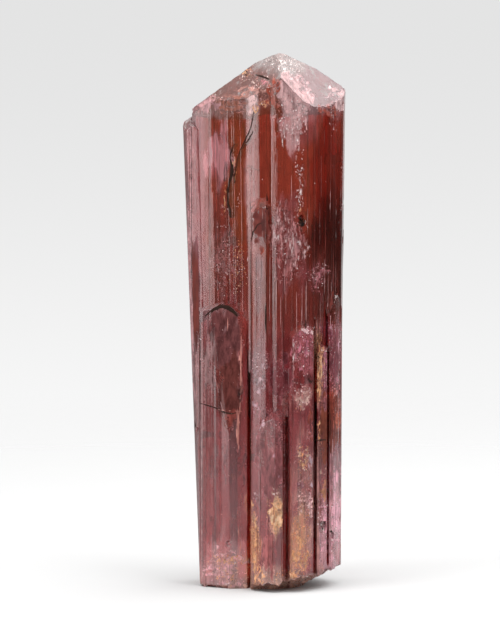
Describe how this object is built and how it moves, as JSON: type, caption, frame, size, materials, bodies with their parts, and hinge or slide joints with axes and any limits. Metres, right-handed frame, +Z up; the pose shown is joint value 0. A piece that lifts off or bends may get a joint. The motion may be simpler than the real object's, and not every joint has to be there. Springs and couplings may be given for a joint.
{
  "type": "rough tourmaline crystal",
  "caption": "Tall striated gem crystal with a three-sided pointed top, smaller crystals grown into its sides and a broken base.",
  "frame": {"origin": "centre of the object's box in plan, on the surface that it stands on", "axes": "+Z up along the crystal's long axis, -Y towards the broad striated front, +X to the front's right"},
  "size_m": [0.0272, 0.0178, 0.089],
  "materials": {
    "tourmaline": "transparent deep pinkish red gem crystal, vitreous striated faces, frosted where it is broken"
  },
  "bodies": {
    "root": {"tourmaline_crystal": "tourmaline"}
  },
  "joints": []
}
